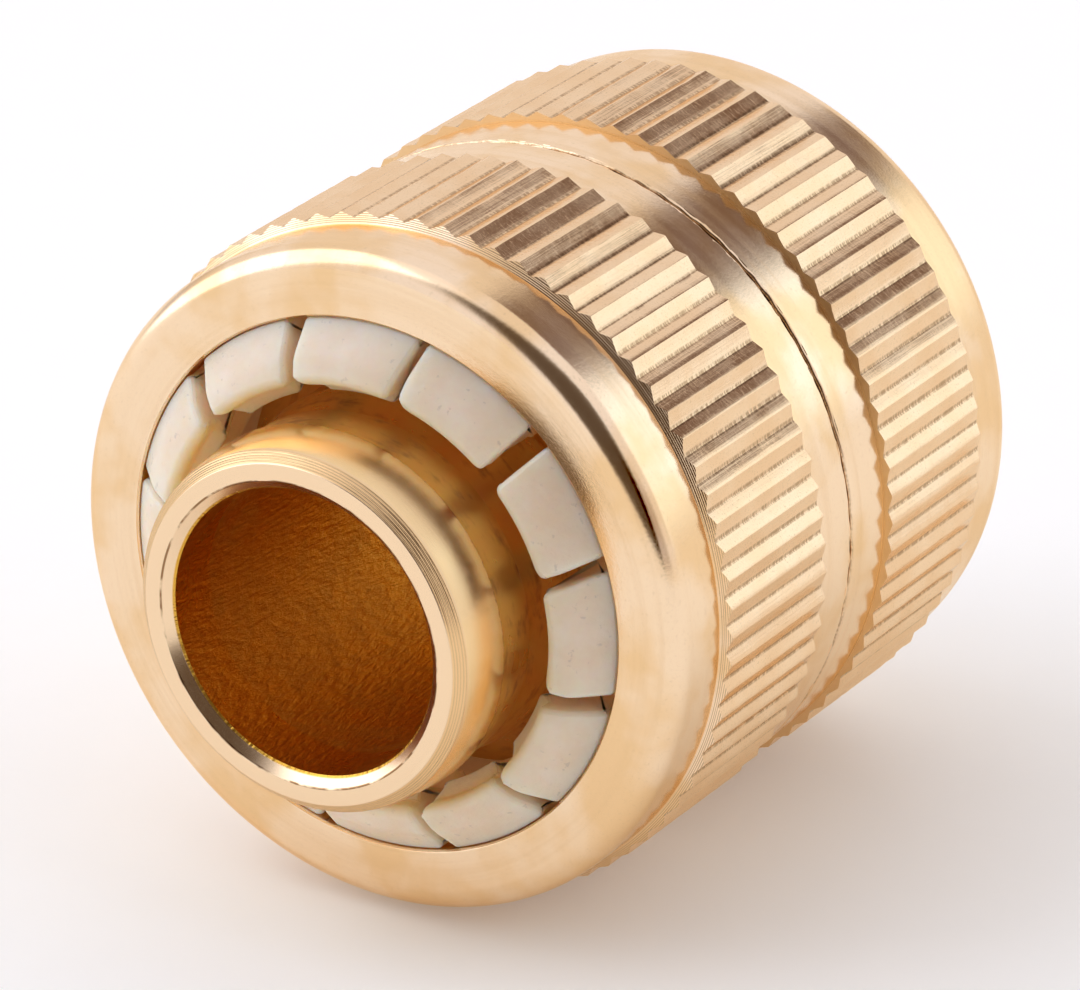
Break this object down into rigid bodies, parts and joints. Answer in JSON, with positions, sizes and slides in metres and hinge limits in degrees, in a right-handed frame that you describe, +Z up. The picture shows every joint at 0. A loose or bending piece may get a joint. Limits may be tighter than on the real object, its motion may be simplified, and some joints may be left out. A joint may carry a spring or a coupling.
{
  "type": "hose union fitting",
  "caption": "Straight brass hose union: a barbed tube with a knurled screw nut and a white plastic claw collet at each end.",
  "frame": {"origin": "centre of the fitting, on its axis, midway between the two stem ends", "axes": "+Y along the bore, from the front hose end to the rear one; +Z up as the fitting lies on its two knurled nuts; the front nut is towards -Y"},
  "size_m": [0.026, 0.0338, 0.026],
  "materials": {
    "stem_brass": "turned, satin, with fine tool rings",
    "nut_brass": "satin, pale, with a straight-cut knurl",
    "nylon": "ivory moulded acetal, slightly translucent"
  },
  "bodies": {
    "stem_body": {"stem_body": "stem_brass", "front_collet_ring": "nylon", "rear_collet_ring": "nylon"},
    "front_nut_carriage": {"front_nut_thread": "nut_brass"},
    "front_nut": {"front_nut": "nut_brass"},
    "front_jaw_01": {"front_jaw_01": "nylon"},
    "front_jaw_02": {"front_jaw_02": "nylon"},
    "front_jaw_03": {"front_jaw_03": "nylon"},
    "front_jaw_04": {"front_jaw_04": "nylon"},
    "front_jaw_05": {"front_jaw_05": "nylon"},
    "front_jaw_06": {"front_jaw_06": "nylon"},
    "front_jaw_07": {"front_jaw_07": "nylon"},
    "front_jaw_08": {"front_jaw_08": "nylon"},
    "front_jaw_09": {"front_jaw_09": "nylon"},
    "front_jaw_10": {"front_jaw_10": "nylon"},
    "front_jaw_11": {"front_jaw_11": "nylon"},
    "front_jaw_12": {"front_jaw_12": "nylon"},
    "rear_nut_carriage": {"rear_nut_thread": "nut_brass"},
    "rear_nut": {"rear_nut": "nut_brass"},
    "rear_jaw_01": {"rear_jaw_01": "nylon"},
    "rear_jaw_02": {"rear_jaw_02": "nylon"},
    "rear_jaw_03": {"rear_jaw_03": "nylon"},
    "rear_jaw_04": {"rear_jaw_04": "nylon"},
    "rear_jaw_05": {"rear_jaw_05": "nylon"},
    "rear_jaw_06": {"rear_jaw_06": "nylon"},
    "rear_jaw_07": {"rear_jaw_07": "nylon"},
    "rear_jaw_08": {"rear_jaw_08": "nylon"},
    "rear_jaw_09": {"rear_jaw_09": "nylon"},
    "rear_jaw_10": {"rear_jaw_10": "nylon"},
    "rear_jaw_11": {"rear_jaw_11": "nylon"},
    "rear_jaw_12": {"rear_jaw_12": "nylon"}
  },
  "joints": [
    {"name": "front_nut_travel", "type": "slide", "parent": "stem_body", "child": "front_nut_carriage", "axis": [0, -1, 0], "range_m": [0, 0.0038]},
    {"name": "front_nut_spin", "type": "hinge", "parent": "front_nut_carriage", "child": "front_nut", "pos_m": [0, -0.006, 0], "axis": [0, -1, 0], "range_deg": [0, 1080]},
    {"name": "front_jaw_01_flex", "type": "hinge", "parent": "stem_body", "child": "front_jaw_01", "pos_m": [0.01009, -0.00795, 0.00053], "axis": [-0.0523, 0, 0.9986], "range_deg": [0, 10]},
    {"name": "front_jaw_02_flex", "type": "hinge", "parent": "stem_body", "child": "front_jaw_02", "pos_m": [0.00847, -0.00795, 0.0055], "axis": [-0.5446, 0, 0.8387], "range_deg": [0, 10]},
    {"name": "front_jaw_03_flex", "type": "hinge", "parent": "stem_body", "child": "front_jaw_03", "pos_m": [0.00458, -0.00795, 0.009], "axis": [-0.891, 0, 0.454], "range_deg": [0, 10]},
    {"name": "front_jaw_04_flex", "type": "hinge", "parent": "stem_body", "child": "front_jaw_04", "pos_m": [-0.00053, -0.00795, 0.01009], "axis": [-0.9986, 0, -0.0523], "range_deg": [0, 10]},
    {"name": "front_jaw_05_flex", "type": "hinge", "parent": "stem_body", "child": "front_jaw_05", "pos_m": [-0.0055, -0.00795, 0.00847], "axis": [-0.8387, 0, -0.5446], "range_deg": [0, 10]},
    {"name": "front_jaw_06_flex", "type": "hinge", "parent": "stem_body", "child": "front_jaw_06", "pos_m": [-0.009, -0.00795, 0.00458], "axis": [-0.454, 0, -0.891], "range_deg": [0, 10]},
    {"name": "front_jaw_07_flex", "type": "hinge", "parent": "stem_body", "child": "front_jaw_07", "pos_m": [-0.01009, -0.00795, -0.00053], "axis": [0.0523, 0, -0.9986], "range_deg": [0, 10]},
    {"name": "front_jaw_08_flex", "type": "hinge", "parent": "stem_body", "child": "front_jaw_08", "pos_m": [-0.00847, -0.00795, -0.0055], "axis": [0.5446, 0, -0.8387], "range_deg": [0, 10]},
    {"name": "front_jaw_09_flex", "type": "hinge", "parent": "stem_body", "child": "front_jaw_09", "pos_m": [-0.00458, -0.00795, -0.009], "axis": [0.891, 0, -0.454], "range_deg": [0, 10]},
    {"name": "front_jaw_10_flex", "type": "hinge", "parent": "stem_body", "child": "front_jaw_10", "pos_m": [0.00053, -0.00795, -0.01009], "axis": [0.9986, 0, 0.0523], "range_deg": [0, 10]},
    {"name": "front_jaw_11_flex", "type": "hinge", "parent": "stem_body", "child": "front_jaw_11", "pos_m": [0.0055, -0.00795, -0.00847], "axis": [0.8387, 0, 0.5446], "range_deg": [0, 10]},
    {"name": "front_jaw_12_flex", "type": "hinge", "parent": "stem_body", "child": "front_jaw_12", "pos_m": [0.009, -0.00795, -0.00458], "axis": [0.454, 0, 0.891], "range_deg": [0, 10]},
    {"name": "rear_nut_travel", "type": "slide", "parent": "stem_body", "child": "rear_nut_carriage", "axis": [0, 1, 0], "range_m": [0, 0.0038]},
    {"name": "rear_nut_spin", "type": "hinge", "parent": "rear_nut_carriage", "child": "rear_nut", "pos_m": [0, 0.006, 0], "axis": [0, 1, 0], "range_deg": [0, 1080]},
    {"name": "rear_jaw_01_flex", "type": "hinge", "parent": "stem_body", "child": "rear_jaw_01", "pos_m": [0.01009, 0.00795, -0.00053], "axis": [-0.0523, 0, -0.9986], "range_deg": [0, 10]},
    {"name": "rear_jaw_02_flex", "type": "hinge", "parent": "stem_body", "child": "rear_jaw_02", "pos_m": [0.00847, 0.00795, -0.0055], "axis": [-0.5446, 0, -0.8387], "range_deg": [0, 10]},
    {"name": "rear_jaw_03_flex", "type": "hinge", "parent": "stem_body", "child": "rear_jaw_03", "pos_m": [0.00458, 0.00795, -0.009], "axis": [-0.891, 0, -0.454], "range_deg": [0, 10]},
    {"name": "rear_jaw_04_flex", "type": "hinge", "parent": "stem_body", "child": "rear_jaw_04", "pos_m": [-0.00053, 0.00795, -0.01009], "axis": [-0.9986, 0, 0.0523], "range_deg": [0, 10]},
    {"name": "rear_jaw_05_flex", "type": "hinge", "parent": "stem_body", "child": "rear_jaw_05", "pos_m": [-0.0055, 0.00795, -0.00847], "axis": [-0.8387, 0, 0.5446], "range_deg": [0, 10]},
    {"name": "rear_jaw_06_flex", "type": "hinge", "parent": "stem_body", "child": "rear_jaw_06", "pos_m": [-0.009, 0.00795, -0.00458], "axis": [-0.454, 0, 0.891], "range_deg": [0, 10]},
    {"name": "rear_jaw_07_flex", "type": "hinge", "parent": "stem_body", "child": "rear_jaw_07", "pos_m": [-0.01009, 0.00795, 0.00053], "axis": [0.0523, 0, 0.9986], "range_deg": [0, 10]},
    {"name": "rear_jaw_08_flex", "type": "hinge", "parent": "stem_body", "child": "rear_jaw_08", "pos_m": [-0.00847, 0.00795, 0.0055], "axis": [0.5446, 0, 0.8387], "range_deg": [0, 10]},
    {"name": "rear_jaw_09_flex", "type": "hinge", "parent": "stem_body", "child": "rear_jaw_09", "pos_m": [-0.00458, 0.00795, 0.009], "axis": [0.891, 0, 0.454], "range_deg": [0, 10]},
    {"name": "rear_jaw_10_flex", "type": "hinge", "parent": "stem_body", "child": "rear_jaw_10", "pos_m": [0.00053, 0.00795, 0.01009], "axis": [0.9986, 0, -0.0523], "range_deg": [0, 10]},
    {"name": "rear_jaw_11_flex", "type": "hinge", "parent": "stem_body", "child": "rear_jaw_11", "pos_m": [0.0055, 0.00795, 0.00847], "axis": [0.8387, 0, -0.5446], "range_deg": [0, 10]},
    {"name": "rear_jaw_12_flex", "type": "hinge", "parent": "stem_body", "child": "rear_jaw_12", "pos_m": [0.009, 0.00795, 0.00458], "axis": [0.454, 0, -0.891], "range_deg": [0, 10]}
  ],
  "couplings": [
    {"joint": "front_nut_travel", "follows": "front_nut_spin", "m_per_rad": 0.00019894},
    {"joint": "front_jaw_01_flex", "follows": "front_nut_spin", "ratio": 0.00925},
    {"joint": "front_jaw_02_flex", "follows": "front_nut_spin", "ratio": 0.00925},
    {"joint": "front_jaw_03_flex", "follows": "front_nut_spin", "ratio": 0.00925},
    {"joint": "front_jaw_04_flex", "follows": "front_nut_spin", "ratio": 0.00925},
    {"joint": "front_jaw_05_flex", "follows": "front_nut_spin", "ratio": 0.00925},
    {"joint": "front_jaw_06_flex", "follows": "front_nut_spin", "ratio": 0.00925},
    {"joint": "front_jaw_07_flex", "follows": "front_nut_spin", "ratio": 0.00925},
    {"joint": "front_jaw_08_flex", "follows": "front_nut_spin", "ratio": 0.00925},
    {"joint": "front_jaw_09_flex", "follows": "front_nut_spin", "ratio": 0.00925},
    {"joint": "front_jaw_10_flex", "follows": "front_nut_spin", "ratio": 0.00925},
    {"joint": "front_jaw_11_flex", "follows": "front_nut_spin", "ratio": 0.00925},
    {"joint": "front_jaw_12_flex", "follows": "front_nut_spin", "ratio": 0.00925},
    {"joint": "rear_nut_travel", "follows": "rear_nut_spin", "m_per_rad": 0.00019894},
    {"joint": "rear_jaw_01_flex", "follows": "rear_nut_spin", "ratio": 0.00925},
    {"joint": "rear_jaw_02_flex", "follows": "rear_nut_spin", "ratio": 0.00925},
    {"joint": "rear_jaw_03_flex", "follows": "rear_nut_spin", "ratio": 0.00925},
    {"joint": "rear_jaw_04_flex", "follows": "rear_nut_spin", "ratio": 0.00925},
    {"joint": "rear_jaw_05_flex", "follows": "rear_nut_spin", "ratio": 0.00925},
    {"joint": "rear_jaw_06_flex", "follows": "rear_nut_spin", "ratio": 0.00925},
    {"joint": "rear_jaw_07_flex", "follows": "rear_nut_spin", "ratio": 0.00925},
    {"joint": "rear_jaw_08_flex", "follows": "rear_nut_spin", "ratio": 0.00925},
    {"joint": "rear_jaw_09_flex", "follows": "rear_nut_spin", "ratio": 0.00925},
    {"joint": "rear_jaw_10_flex", "follows": "rear_nut_spin", "ratio": 0.00925},
    {"joint": "rear_jaw_11_flex", "follows": "rear_nut_spin", "ratio": 0.00925},
    {"joint": "rear_jaw_12_flex", "follows": "rear_nut_spin", "ratio": 0.00925}
  ]
}
